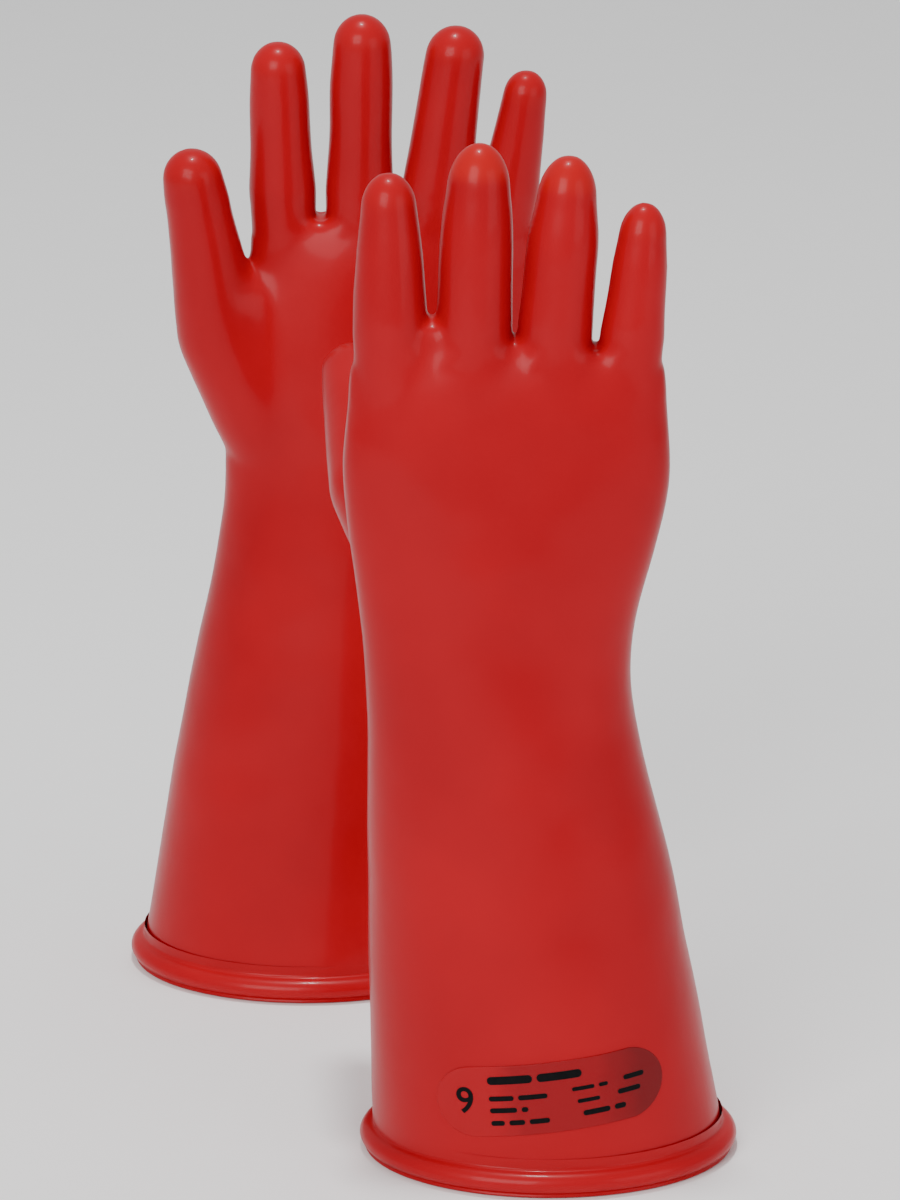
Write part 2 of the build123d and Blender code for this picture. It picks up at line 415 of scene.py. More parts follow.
def film_material(colours):
    """The label's glossy red film, with a painted reflection that makes it darker towards one end."""
    material, nodes, links, shader = new_material("label_film")
    place = nodes.new("ShaderNodeTexCoord")
    cloud = noise_at(nodes, links, place, 90.0, 2.0)
    across = nodes.new("ShaderNodeAttribute")
    across.attribute_name = "label_across"
    wavy = add_node(nodes, "ShaderNodeMath")
    wavy.operation = "MULTIPLY_ADD"
    links.new(cloud.outputs["Fac"], wavy.inputs[0])
    wavy.inputs[1].default_value = FILM_EDGE_WAVE
    links.new(across.outputs["Fac"], wavy.inputs[2])
    middle = add_node(nodes, "ShaderNodeMapRange", From_Min=DIM_REFLECTION_FROM, From_Max=DIM_REFLECTION_FULL)
    links.new(wavy.outputs["Value"], middle.inputs["Value"])
    end = add_node(nodes, "ShaderNodeMapRange", From_Min=DARK_REFLECTION_FROM, From_Max=DARK_REFLECTION_FULL)
    links.new(wavy.outputs["Value"], end.inputs["Value"])
    # Painted reflection: the film's red is dimmed over its middle, and more at its end.
    dim_reflection = tuple(DIM_REFLECTION_SHARE * channel for channel in colours.film)
    dark_reflection = tuple(DARK_REFLECTION_SHARE * channel for channel in colours.film)
    colour = mixed(nodes, links, middle.outputs["Result"], colours.film, dim_reflection)
    colour = mixed(nodes, links, end.outputs["Result"], colour, dark_reflection)
    links.new(colour, shader.inputs["Base Color"])
    ripple = noise_at(nodes, links, place, 110.0, 2.0)
    bump = add_node(nodes, "ShaderNodeBump", Strength=0.12, Distance=0.0005)
    links.new(ripple.outputs["Fac"], bump.inputs["Height"])
    links.new(bump.outputs["Normal"], shader.inputs["Normal"])
    shader.inputs["Roughness"].default_value = 0.16
    shader.inputs["Specular IOR Level"].default_value = 0.20
    return material


INK_FADE = 4.0  # how much paler the ink is where it is worn


def ink_material(colours):
    """Black stamped ink, a little uneven."""
    material, nodes, links, shader = new_material("label_ink")
    place = nodes.new("ShaderNodeTexCoord")
    specks = noise_at(nodes, links, place, 900.0, 3.0)
    faded = tuple(INK_FADE * channel for channel in colours.ink)
    colour = mixed(nodes, links, specks.outputs["Fac"], colours.ink, faded)
    links.new(colour, shader.inputs["Base Color"])
    shader.inputs["Roughness"].default_value = 0.4
    shader.inputs["Specular IOR Level"].default_value = 0.06
    return material


def finish_with(piece, material):
    """Give the piece its one material."""
    piece.data.materials.clear()
    piece.data.materials.append(material)


# ---------------------------------------------------------------- the rubber skin

# Ovals of the gauntlet, wrist and palm: height, sideways shift, half width and half depth
BODY_LEVELS = {
    "right": (
        (0.0044, 0.0, 0.0600, 0.0480),
        (0.1000, -0.0100, 0.0515, 0.0360),
        (0.1720, -0.0175, 0.0445, 0.0270),
        (0.2360, -0.0150, 0.0545, 0.0190),
        (0.2640, -0.0145, 0.0528, 0.0152),
        (0.2750, -0.0145, 0.0521, 0.0128),
        (0.2825, -0.0145, 0.0495, 0.0102),
    ),
    "left": (
        (0.0044, 0.0, 0.0600, 0.0480),
        (0.1000, 0.0080, 0.0515, 0.0360),
        (0.1720, 0.0150, 0.0445, 0.0270),
        (0.2360, 0.0260, 0.0545, 0.0190),
        (0.2600, 0.0318, 0.0512, 0.0152),
        (0.2700, 0.0318, 0.0508, 0.0128),
        (0.2775, 0.0318, 0.0485, 0.0102),
    ),
}
LEVEL_STEP = 0.006
CUFF_LEVEL = BODY_LEVELS["right"][0]
FLARE_LEVEL = BODY_LEVELS["right"][1]

# Outlines of the digits: distance below the tip and radius there. The dome ends at the first pair.
OUTLINES = {
    "right": {
        "index": ((0.0125, 0.0093), (0.0250, 0.0108), (0.0400, 0.0121), (0.0540, 0.0128)),
        "middle": ((0.0160, 0.0106), (0.0270, 0.0119), (0.0450, 0.0125), (0.0640, 0.0127)),
        "ring": ((0.0155, 0.0102), (0.0280, 0.0119), (0.0400, 0.0122), (0.0600, 0.0123)),
        "little": ((0.0125, 0.0081), (0.0210, 0.0092), (0.0350, 0.0100), (0.0440, 0.0107)),
        "thumb": (
            (0.0120, 0.0105),
            (0.0220, 0.0116),
            (0.0370, 0.0128),
            (0.0520, 0.0140),
            (0.0700, 0.0152),
        ),
    },
    "left": {
        "index": ((0.0105, 0.0099), (0.0220, 0.0106), (0.0400, 0.0110), (0.0540, 0.0119)),
        "middle": ((0.0115, 0.0104), (0.0250, 0.0112), (0.0450, 0.0113), (0.0640, 0.0121)),
        "ring": ((0.0110, 0.0103), (0.0220, 0.0109), (0.0400, 0.0116), (0.0600, 0.0124)),
        "little": ((0.0095, 0.0079), (0.0200, 0.0087), (0.0320, 0.0096), (0.0440, 0.0106)),
        "thumb": (
            (0.0115, 0.0107),
            (0.0200, 0.0116),
            (0.0370, 0.0130),
            (0.0520, 0.0144),
            (0.0700, 0.0158),
        ),
    },
}
ROOT_DEPTH = 0.030  # of a finger below the end of its outline, inside the palm
ROOT_SHARE_HALFWAY = 0.95  # of its radius halfway down there
ROOT_SHARE = 0.6  # and at the bottom
KNUCKLE_SQUARENESS = 2.9  # exponent of the palm's ovals at the knuckles; 2 is a plain oval
SQUARE_FROM, SQUARE_FULL = 0.185, 0.262  # heights between which the ovals turn fuller

# The webs between index, middle, ring and little finger: their heights, half width and half depth, and base
WEBS = {"right": (0.2935, 0.2868, 0.2838), "left": (0.2775, 0.2790, 0.2790)}
WEB_SIZE = (0.0072, 0.0108)
WEB_BASE = 0.250
DOME_RINGS = 9
OUTLINE_STEP = 0.003

# The thumb: how far its bend is behind its hinge, where its bone starts in the palm, and the radius there
THUMB_BEND = 0.0355
THUMB_ROOTS = {"right": (-0.0350, 0.0020, 0.1880), "left": (-0.0060, 0.0, 0.1860)}
THUMB_ROOT_RADIUS = 0.0165
THUMB_LEANS = {"right": -0.095, "left": 0.0}  # how much more it leans sideways than the frame's
THUMB_SWELL = 0.0012  # of the ball halfway down the bone
BALL_STEPS = 4
THUMB_WEB_STEPS = 6
# The flesh between thumb and palm: (sideways, palmward, height) and radii of its lower and upper end
THUMB_WEBS = {
    "right": ((-0.0450, 0.0040, 0.2050, 0.0150, 0.0140), (-0.0530, 0.0200, 0.2440, 0.0110, 0.0130)),
    "left": ((-0.0130, 0.0030, 0.2120, 0.0170, 0.0165), (-0.0240, 0.0050, 0.2460, 0.0150, 0.0140)),
}

# Where the digits' own pieces start: height of the fingers' seams, and the thumb's distance below its hinge
FINGER_SEAMS = {"right": 0.2980, "left": 0.2900}
THUMB_SEAMS = {"right": 0.0090, "left": 0.0030}
SEAM_MARGIN = 0.0012
SEAM_BAND = 0.006  # how far from a seam faces are cut


def dome_turns():
    """Angles of a dome's rings, from near its base to near its pole."""
    return [math.pi / 2 * step / DOME_RINGS for step in range(1, DOME_RINGS)]


def between_levels(levels, i, t):
    """A smooth cubic from level i to the next, for every column after the first."""

    def slope(k, column):
        low, high = levels[max(k - 1, 0)], levels[min(k + 1, len(levels) - 1)]
        return (high[column] - low[column]) / (high[0] - low[0])

    low, high = levels[i], levels[i + 1]
    rise = high[0] - low[0]
    level = [low[0] + rise * t]
    for column in range(1, len(low)):
        start, end = slope(i, column) * rise, slope(i + 1, column) * rise
        change = high[column] - low[column]
        curve = 3 * change - 2 * start - end + t * (start + end - 2 * change)
        level.append(low[column] + t * (start + t * curve))
    return level


def dense_levels(levels, step):
    """The levels with evenly spaced ones between them."""
    dense = []
    for i in range(len(levels) - 1):
        steps = max(1, round((levels[i + 1][0] - levels[i][0]) / step))
        dense += [between_levels(levels, i, k / steps) for k in range(steps)]
    return dense + [list(levels[-1])]


def body_solid(side):
    """The gauntlet, wrist and palm."""
    middle = cuff_middle(side)
    rings = [
        ((middle.x + shift, middle.y, height), half_width, half_depth)
        for height, shift, half_width, half_depth in dense_levels(BODY_LEVELS[side], LEVEL_STEP)
    ]
    palm = ring_tube(f"{side}_palm", rings, 96)
    square_knuckles(side, palm)
    return palm


def square_knuckles(side, palm):
    """Make the palm's ovals fuller at their corners, more and more up to the knuckles."""
    levels = dense_levels(BODY_LEVELS[side], LEVEL_STEP)
    heights = [level[0] for level in levels]
    middle = cuff_middle(side)
    points = points_of(palm)
    shift, half_width, half_depth = (
        np.interp(points[:, 2], heights, [level[column] for level in levels]) for column in (1, 2, 3)
    )
    squareness = 2 + (KNUCKLE_SQUARENESS - 2) * smooth_share(points[:, 2], SQUARE_FROM, SQUARE_FULL)
    across = (points[:, 0] - middle.x - shift) / half_width
    deep = (points[:, 1] - middle.y) / half_depth
    points[:, 0] = middle.x + shift + half_width * np.sign(across) * np.abs(across) ** (2 / squareness)
    points[:, 1] = middle.y + half_depth * np.sign(deep) * np.abs(deep) ** (2 / squareness)
    place_points(palm, points)


def web_solids(side):
    """The webs between the fingers, each a low domed post between two roots."""
    hinges = [digit_axis(side, digit) for digit in DIGITS[1:]]
    half_width, half_depth = WEB_SIZE
    posts = []
    for first, second, top in zip(hinges, hinges[1:], WEBS[side]):
        feet = []
        for axis in (first, second):
            reach = (top - axis["hinge"].z) / axis["along"].z
            feet.append(axis["hinge"] + axis["along"] * reach)
        foot = (feet[0] + feet[1]) / 2
        rings = [((0, 0, height), half_width, half_depth) for height in (WEB_BASE - top, -half_width)]
        for turn in dome_turns():
            share = math.cos(turn)
            height = half_width * (math.sin(turn) - 1)
            rings.append(((0, 0, height), half_width * share, half_depth * share))
        post = ring_tube(f"{side}_web", rings, 32)
        post.location = foot
        settle(post)
        posts.append(post)
    return posts


def outline_rings(outline, tip):
    """Rings of an upright digit from the end of its outline to its domed tip."""
    dome, dome_radius = outline[0]
    rings = [
        ((0, 0, tip - below), radius, radius)
        for below, radius in reversed(dense_levels(outline, OUTLINE_STEP))
    ]
    for turn in dome_turns():
        radius = dome_radius * math.cos(turn)
        rings.append(((0, 0, tip - dome + dome * math.sin(turn)), radius, radius))
    return rings


def stand_along(piece, origin, along):
    """Turn a piece that was drawn upright so that it stands along a direction."""
    turn = Vector((0, 0, 1)).rotation_difference(along)
    piece.matrix_world = Matrix.Translation(origin) @ turn.to_matrix().to_4x4()
    settle(piece)
    return piece


def finger_solid(side, digit):
    """One finger, rooted inside the palm."""
    axis = digit_axis(side, digit)
    outline = OUTLINES[side][digit]
    rings = outline_rings(outline, axis["tip"])
    web, half_width, half_depth = rings[0]
    for depth, share in ((ROOT_DEPTH / 2, ROOT_SHARE_HALFWAY), (ROOT_DEPTH, ROOT_SHARE)):
        rings.insert(0, ((0, 0, web[2] - depth), half_width * share, half_depth * share))
    return stand_along(ring_tube(f"{side}_{digit}", rings, 48), axis["hinge"], axis["along"])


def domed_start(radius, flatness=1.0):
    """Rings of a round end that a tube starts with, its middle at the origin."""
    rings = []
    for turn in reversed(dome_turns()):
        across = radius * math.cos(turn)
        rings.append(((0, 0, -radius * math.sin(turn)), across, across * flatness))
    return rings


def thumb_web_ends(side):
    """The lower and upper end of the flesh between thumb and palm."""
    ends = [Vector((end[0], PALMWARD[side] * end[1], end[2])) for end in THUMB_WEBS[side]]
    return [cuff_middle(side) + end for end in ends]


def thumb_solids(side):
    """The thumb, and the ball of the hand below its bend."""
    axis = digit_axis(side, "thumb")
    outline = OUTLINES[side]["thumb"]
    bend_radius = outline[-1][1]
    bend = axis["hinge"] - axis["along"] * THUMB_BEND
    length = axis["tip"] + THUMB_BEND
    rings = domed_start(bend_radius) + outline_rings(outline, length)
    thumb = stand_along(ring_tube(f"{side}_thumb", rings, 48), bend, axis["along"])
    root = cuff_middle(side) + Vector(THUMB_ROOTS[side])
    bone = root - bend
    rings = domed_start(bend_radius)
    for step in range(BALL_STEPS + 1):
        share = step / BALL_STEPS
        swell = THUMB_SWELL * math.sin(share * math.pi)
        radius = bend_radius + (THUMB_ROOT_RADIUS - bend_radius) * share + swell
        rings.append(((0, 0, bone.length * share), radius, radius))
    ball = stand_along(ring_tube(f"{side}_thumb_ball", rings, 48), bend, bone.normalized())
    low, high = THUMB_WEBS[side]
    ends = thumb_web_ends(side)
    line = ends[1] - ends[0]
    rings = domed_start(low[3], low[4] / low[3])
    for step in range(THUMB_WEB_STEPS + 1):
        share = step / THUMB_WEB_STEPS
        across, deep = (low[k] + (high[k] - low[k]) * share for k in (3, 4))
        rings.append(((0, 0, line.length * share), across, deep))
    for turn in dome_turns():
        rise = line.length + high[3] * math.sin(turn)
        rings.append(((0, 0, rise), high[3] * math.cos(turn), high[4] * math.cos(turn)))
    web = stand_along(ring_tube(f"{side}_thumb_web", rings, 48), ends[0], line.normalized())
    return [thumb, ball, web]


def melt_together(name, solids, sizes):
    """Union of the solids with rounded webs, as a former gives a dipped skin."""
    skin = join(name, solids)
    apply_modifier(skin, "REMESH", mode="VOXEL", voxel_size=sizes.voxel)
    apply_modifier(skin, "SMOOTH", factor=0.5, iterations=sizes.melt)
    return skin


RIPPLE_LENGTH = 0.035


def ripple_skin(skin, sizes):
    """Soft waves that dipping leaves in the rubber."""
    clouds = bpy.data.textures.new("dip_waves", "CLOUDS")
    clouds.noise_scale = RIPPLE_LENGTH
    clouds.noise_depth = 1
    waves = {"texture": clouds, "texture_coords": "LOCAL", "strength": sizes.ripple, "mid_level": 0.5}
    apply_modifier(skin, "DISPLACE", **waves)


def press(points, place, push, reach):
    """Move the points near a place, fading out at reach."""
    away = np.linalg.norm(points - np.array(place), axis=1)
    share = smooth_share(-away, -reach, 0.0)
    return points + np.outer(share, np.array(push))


CUFF_CUT = 0.002  # above the lowest oval


def open_cuff(skin):
    """Cut the closed underside off, just above the bead's middle."""
    select_faces(skin, np.ones(len(skin.data.polygons), bool))
    bpy.ops.object.mode_set(mode="EDIT")
    low = CUFF_LEVEL[0] + CUFF_CUT
    bpy.ops.mesh.bisect(plane_co=(0, 0, low), plane_no=(0, 0, 1), clear_inner=True)
    bpy.ops.object.mode_set(mode="OBJECT")


def faces_by_line(skin, place, along):
    """How far each face is along a line from a place, and how far off that line."""
    middles = face_middles(skin) - np.array(place)
    height = middles @ np.array(along)
    return height, np.linalg.norm(middles - np.outer(height, np.array(along)), axis=1)


def cut_across(skin, place, along, near):
    """A clean loop of edges where a digit's own piece starts. Only faces near the place are cut."""
    height, off_line = faces_by_line(skin, place, along)
    select_faces(skin, (np.abs(height) < SEAM_BAND) & (off_line < near))
    bpy.ops.object.mode_set(mode="EDIT")
    bpy.ops.mesh.bisect(plane_co=place, plane_no=along)
    bpy.ops.object.mode_set(mode="OBJECT")


def remember_normals(skin):
    """Keep the whole skin's normals on its points, so that its pieces still shade as one."""
    normals = np.empty(len(skin.data.vertices) * 3, np.float32)
    skin.data.vertices.foreach_get("normal", normals)
    kept = skin.data.attributes.new("skin_normal", "FLOAT_VECTOR", "POINT")
    kept.data.foreach_set("vector", normals)


RIM_FACING = 0.3  # below this the face is the cut rim of the wall, and keeps its own normal


def recall_normals(piece):
    """Shade the outside, and the inside turned round, by the whole skin's normals."""
    mesh = piece.data
    kept = np.empty(len(mesh.vertices) * 3, np.float32)
    mesh.attributes["skin_normal"].data.foreach_get("vector", kept)
    kept = kept.reshape(-1, 3)
    corners = np.empty(len(mesh.loops), np.int32)
    mesh.loops.foreach_get("vertex_index", corners)
    faces = np.empty(len(mesh.polygons) * 3, np.float32)
    mesh.polygons.foreach_get("normal", faces)
    counts = np.empty(len(mesh.polygons), np.int32)
    mesh.polygons.foreach_get("loop_total", counts)
    face_normals = np.repeat(faces.reshape(-1, 3), counts, axis=0)
    wanted = kept[corners]
    wanted /= np.maximum(np.linalg.norm(wanted, axis=1, keepdims=True), 1e-6)
    facing = np.einsum("ij,ij->i", wanted, face_normals)
    wanted = np.where(facing[:, None] < 0, -wanted, wanted)
    wanted = np.where(np.abs(facing)[:, None] < RIM_FACING, face_normals, wanted)
    activate(piece)
    bpy.ops.object.shade_smooth()
    mesh.normals_split_custom_set(wanted.tolist())
    mesh.attributes.remove(mesh.attributes["skin_normal"])


def split_off(skin, name, place, along, near):
    """The part of the skin beyond a plane and within near of a line, as its own piece."""
    height, off_line = faces_by_line(skin, place, along)
    before = set(bpy.data.objects)
    select_faces(skin, (height > 0) & (off_line < near))
    bpy.ops.object.mode_set(mode="EDIT")
    bpy.ops.mesh.separate(type="SELECTED")
    bpy.ops.object.mode_set(mode="OBJECT")
    piece = (set(bpy.data.objects) - before).pop()
    piece.name = name
    piece.data.name = name
    return piece


# Where the painted highlight on a fingertip starts and where it is full, below the tip
TIP_HIGHLIGHT_FROM, TIP_HIGHLIGHT_FULL = 0.0135, 0.0085  # below the tip


def paint_tip_highlight(piece, axis, highlight_share):
    """How much of the painted highlight, a lighter red, each point gets: most at the tip."""
    reach = (points_of(piece) - np.array(axis["hinge"])) @ np.array(axis["along"])
    share = highlight_share * smooth_share(reach, axis["tip"] - TIP_HIGHLIGHT_FROM, axis["tip"] - TIP_HIGHLIGHT_FULL)
    tip_highlight = piece.data.attributes.new("painted_tip_highlight", "FLOAT", "POINT")
    tip_highlight.data.foreach_set("value", share.astype(np.float32))


def seam_of(side, digit, axis):
    """Where a digit's own piece starts, the end of its fold, and how far its skin is from its line."""
    outline = OUTLINES[side][digit]
    if digit == "thumb":
        before = THUMB_SEAMS[side]
    else:
        before = (axis["hinge"].z - FINGER_SEAMS[side]) / axis["along"].z
    below_tip = axis["tip"] + before
    radius = np.interp(below_tip, [pair[0] for pair in outline], [pair[1] for pair in outline])
    start = axis["hinge"] - axis["along"] * before
    return start, axis["hinge"] + axis["along"] * axis["rim"], radius + SEAM_MARGIN


# Where the skin is smoothed again: how far round the thumb's web, and how far below the palm's top
THUMB_CALM = (0.022, 0.044)
KNUCKLE_CALM = (0.042, 0.008)
ABOVE_PALM = 0.011
FACE_DEPTHS = (0.004, 0.009)  # from the middle of the palm, where its faces start and are reached
CALM_STEPS = 10
CALM_PASSES = 160


def calm_skin(side, skin):
    """Smooth out the grooves round the ball of the thumb and the ledge below the fingers."""
    points = points_of(skin)
    low, high = thumb_web_ends(side)
    away = np.linalg.norm(points - np.array((low + high) / 2), axis=1)
    inner, outer = THUMB_CALM
    share = 1 - smooth_share(away, inner, outer)
    below = BODY_LEVELS[side][-1][0] + ABOVE_PALM - points[:, 2]
    deep, shallow = KNUCKLE_CALM
    ledge = smooth_share(below, 0.0, shallow) * (1 - smooth_share(below, deep - shallow, deep))
    ledge *= smooth_share(np.abs(points[:, 1] - cuff_middle(side).y), *FACE_DEPTHS)
    share = np.maximum(share, ledge)
    group = skin.vertex_groups.new(name="calm")
    for step in range(1, CALM_STEPS + 1):
        chosen = np.flatnonzero(np.round(share * CALM_STEPS) == step)
        group.add(chosen.tolist(), step / CALM_STEPS, "REPLACE")
    apply_modifier(skin, "SMOOTH", factor=0.5, iterations=CALM_PASSES, vertex_group="calm")
    skin.vertex_groups.clear()


# Share of the painted highlight, a lighter red, at each fingertip
TIP_HIGHLIGHT = {("right", "middle"): 1.0, ("right", "ring"): 0.75}
FAINT_TIP_HIGHLIGHT = 0.2

# Marks near the webs, from the middle between two fingers: sideways, up, push outwards and reach
WEB_MARKS = (
    (0.0000, -0.0060, -0.0006, 0.0090),
    (-0.0060, -0.0080, 0.0004, 0.0050),
    (0.0060, -0.0100, 0.0004, 0.0060),
)
MARKS_ABOVE_PALM = 0.010
MARKS_DEPTH = 0.0125  # from the middle of the palm

# The hollow of the palm: its place sideways and palmward, its height, its depth and its reach
HOLLOW_PLACE = (0.012, 0.019, 0.243)
HOLLOW_DEPTH = 0.0030
HOLLOW_REACH = 0.036


def shape_palm(side, points):
    """The hollow of the palm and the small creases below the webs."""
    palmward = PALMWARD[side]
    shift = BODY_LEVELS[side][3][1]
    middle = cuff_middle(side)
    sideways, inward, height = HOLLOW_PLACE
    hollow = (middle.x + shift + sideways, middle.y + palmward * inward, height)
    points = press(points, hollow, (0, -palmward * HOLLOW_DEPTH, 0), HOLLOW_REACH)
    knuckles = [digit_axis(side, digit)["hinge"] for digit in DIGITS[1:]]
    top = BODY_LEVELS[side][-1][0]
    for first, second in zip(knuckles, knuckles[1:]):
        crotch = (first.x + second.x) / 2
        for face in (1.0, -1.0):
            for sideways, up, push, reach in WEB_MARKS:
                place = (crotch + sideways, middle.y + face * MARKS_DEPTH, top + MARKS_ABOVE_PALM + up)
                points = press(points, place, (0, face * push, 0), reach)
    return points


def make_skin(side, sizes, materials):
    """One glove's skin: melted from palm and digits, then parted where the digits bend."""
    solids = [body_solid(side)]
    solids += [finger_solid(side, digit) for digit in DIGITS[1:]]
    solids += web_solids(side) + thumb_solids(side)
    skin = melt_together(f"{side}_skin", solids, sizes)
    calm_skin(side, skin)
    place_points(skin, shape_palm(side, points_of(skin)))
    ripple_skin(skin, sizes)
    apply_modifier(skin, "DECIMATE", ratio=sizes.keep)
    apply_modifier(skin, "SMOOTH", factor=0.5, iterations=2)
    open_cuff(skin)
    remember_normals(skin)
    for digit in DIGITS:
        axis = digit_axis(side, digit)
        start, end, near = seam_of(side, digit, axis)
        cut_across(skin, start, axis["along"], near)
        piece = split_off(skin, f"{side}_{digit}_skin", start, axis["along"], near)
        paint_tip_highlight(piece, axis, TIP_HIGHLIGHT.get((side, digit), FAINT_TIP_HIGHLIGHT))
        finish_skin(piece, sizes, materials["highlit_tips"])
        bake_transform(piece)
        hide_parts(f"{side}_{digit}_fold", f"{side}_{digit}_tip")
    finish_skin(skin, sizes, materials["skin"])
    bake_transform(skin)
    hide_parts(f"{side}_gauntlet", f"{side}_wrist_fold", f"{side}_palm", f"{side}_knuckles")


def finish_skin(piece, sizes, material):
    """Give the skin its wall, its shading and its rubber."""
    apply_modifier(piece, "SOLIDIFY", thickness=sizes.wall, offset=-1.0)
    recall_normals(piece)
    finish_with(piece, material)


# ---------------------------------------------------------------- the cuff


COLLAR_RISE = 2.9  # height of the bead's collar, in bead radii
ROLL_MIDDLE = 1.12  # height of the roll's middle
ROLL_HEIGHT = 0.88  # half the height of the roll
BEAD_SIDES = 160


def bead_profile(radius):
    """Outward step and height of the points round the bead: groove, roll, lip, underside and collar."""
    points = [(0.0002, radius * COLLAR_RISE), (0.0, radius * 2.35), (-0.0001, radius * 2.02)]
    for degrees in range(70, -61, -13):
        turn = math.radians(degrees)
        rise = radius * ROLL_MIDDLE + radius * ROLL_HEIGHT * math.sin(turn)
        points.append((radius * math.cos(turn), rise))
    points += [(radius * 0.52, radius * 0.26), (radius * 0.66, radius * 0.16), (radius * 0.5, 0.0)]
    points += [(-radius * 0.4, 0.0), (-radius * 0.86, radius * 0.3), (-radius, radius)]
    points += [(-radius * 0.8, radius * 1.6), (-0.0012, radius * 2.0), (-0.0011, radius * COLLAR_RISE)]
    return points


def make_bead(side, sizes, material):
    """The rolled bead, drawn as an oval that is extruded round the bead's profile."""
    middle = cuff_middle(side)
    profile = bead_profile(sizes.bead_radius)
    base_width, base_depth = CUFF_LEVEL[2:]
    rise_to_flare = FLARE_LEVEL[0] - CUFF_LEVEL[0]
    slope = [(CUFF_LEVEL[k] - FLARE_LEVEL[k]) / rise_to_flare for k in (2, 3)]
    deselect()
    bpy.ops.mesh.primitive_circle_add(vertices=BEAD_SIDES, radius=1.0, fill_type="NOTHING")
    bead = bpy.context.object
    bead.name = f"{side}_bead"
    bpy.ops.object.mode_set(mode="EDIT")
    bpy.ops.mesh.select_mode(type="EDGE")
    bpy.ops.mesh.select_all(action="SELECT")
    width = depth = 1.0
    height = 0.0
    for number, (outward, rise) in enumerate(profile):
        above = max(0.0, rise - CUFF_LEVEL[0])
        new_width = base_width + outward - slope[0] * above
        new_depth = base_depth + outward - slope[1] * above
        if number:
            bpy.ops.mesh.extrude_region_move(TRANSFORM_OT_translate={"value": (0, 0, rise - height)})
        else:
            bpy.ops.transform.translate(value=(0, 0, rise))
        ratio = (new_width / width, new_depth / depth, 1.0)
        bpy.ops.transform.resize(value=ratio, center_override=(0, 0, rise))
        width, depth, height = new_width, new_depth, rise
    bpy.ops.mesh.select_all(action="DESELECT")
    bpy.ops.object.mode_set(mode="OBJECT")
    ends = points_of(bead)[:, 2] > sizes.bead_radius * COLLAR_RISE - 1e-6
    bead.data.vertices.foreach_set("select", ends)
    bpy.ops.object.mode_set(mode="EDIT")
    bpy.ops.mesh.select_mode(type="EDGE")
    bpy.ops.mesh.bridge_edge_loops()
    bpy.ops.mesh.select_all(action="SELECT")
    bpy.ops.mesh.normals_make_consistent(inside=False)
    bpy.ops.object.mode_set(mode="OBJECT")
    bead.location = middle
    settle(bead)
    apply_modifier(bead, "SUBSURF", levels=1, render_levels=1)
    bpy.ops.object.shade_smooth()
    finish_with(bead, material)
    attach(bead, f"{side}_gauntlet")
    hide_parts(f"{side}_cuff_bead")


LABEL_GRID = 0.0016  # size of the squares that let the label follow the cuff
LABEL_STANDOFF = 0.075  # from the cuff's middle, before the label is pressed on
PRESS_LIMIT = 0.06
INK_LIFT = 0.00010
EDGE_ROUNDING = 0.00012
NUMERAL_HEIGHT = 0.52  # share of the label's height
NUMERAL_PLACE = -0.375  # share of the label's width, from its middle
NUMERAL_WEIGHT = 0.012  # how much bolder the numeral is drawn, as a share of its size
WORD_GAP = 0.02  # share of the label's width


def cut_fine(piece, step):
    """Cut a flat piece into small squares so that it can follow the cuff's curve."""
    select_faces(piece, np.ones(len(piece.data.polygons), bool))
    points = points_of(piece)
    bpy.ops.object.mode_set(mode="EDIT")
    for axis, direction in ((0, (1, 0, 0)), (1, (0, 1, 0))):
        low, high = points[:, axis].min(), points[:, axis].max()
        for cut in range(math.ceil(low / step), math.floor(high / step) + 1):
            bpy.ops.mesh.select_all(action="SELECT")
            place = [cut * step * part for part in direction]
            bpy.ops.mesh.bisect(plane_co=place, plane_no=direction)
    bpy.ops.object.mode_set(mode="OBJECT")


def pill(name, width, height, place):
    """A flat pill shape with round ends, lying at a place."""
    deselect()
    bpy.ops.mesh.primitive_circle_add(vertices=40, radius=height / 2, fill_type="NGON")
    piece = bpy.context.object
    piece.name = name
    points = points_of(piece)
    stretch = (width - height) / 2
    points[:, 0] += np.where(points[:, 0] > 1e-6, stretch, -stretch)
    place_points(piece, points)
    piece.location = (place[0], place[1], 0)
    settle(piece)
    return piece


def numeral(size, place):
    """The size numeral as a flat mesh."""
    deselect()
    bpy.ops.object.text_add(location=(0, 0, 0))
    text = bpy.context.object
    text.data.body = "9"
    text.data.size = size
    text.data.align_x = "CENTER"
    text.data.align_y = "CENTER"
    text.data.offset = size * NUMERAL_WEIGHT
    bpy.ops.object.convert(target="MESH")
    piece = bpy.context.object
    piece.location = (place[0], place[1], 0)
    settle(piece)
    return piece


# Blank printed lines right of the numeral: row, start and lengths of the words, as shares of the label
PRINT_ROWS = (
    (0.30, -0.27, 0.115, (0.20, 0.20)),
    (0.04, -0.27, 0.070, (0.11, 0.13)),
    (0.08, 0.10, 0.055, (0.10, 0.04)),
    (0.10, 0.33, 0.070, (0.09,)),
    (-0.13, -0.27, 0.070, (0.12, 0.03)),
    (-0.10, 0.12, 0.055, (0.10,)),
    (-0.08, 0.30, 0.070, (0.10,)),
    (-0.31, -0.27, 0.070, (0.06, 0.07, 0.09)),
    (-0.28, 0.14, 0.075, (0.12, 0.05)),
)


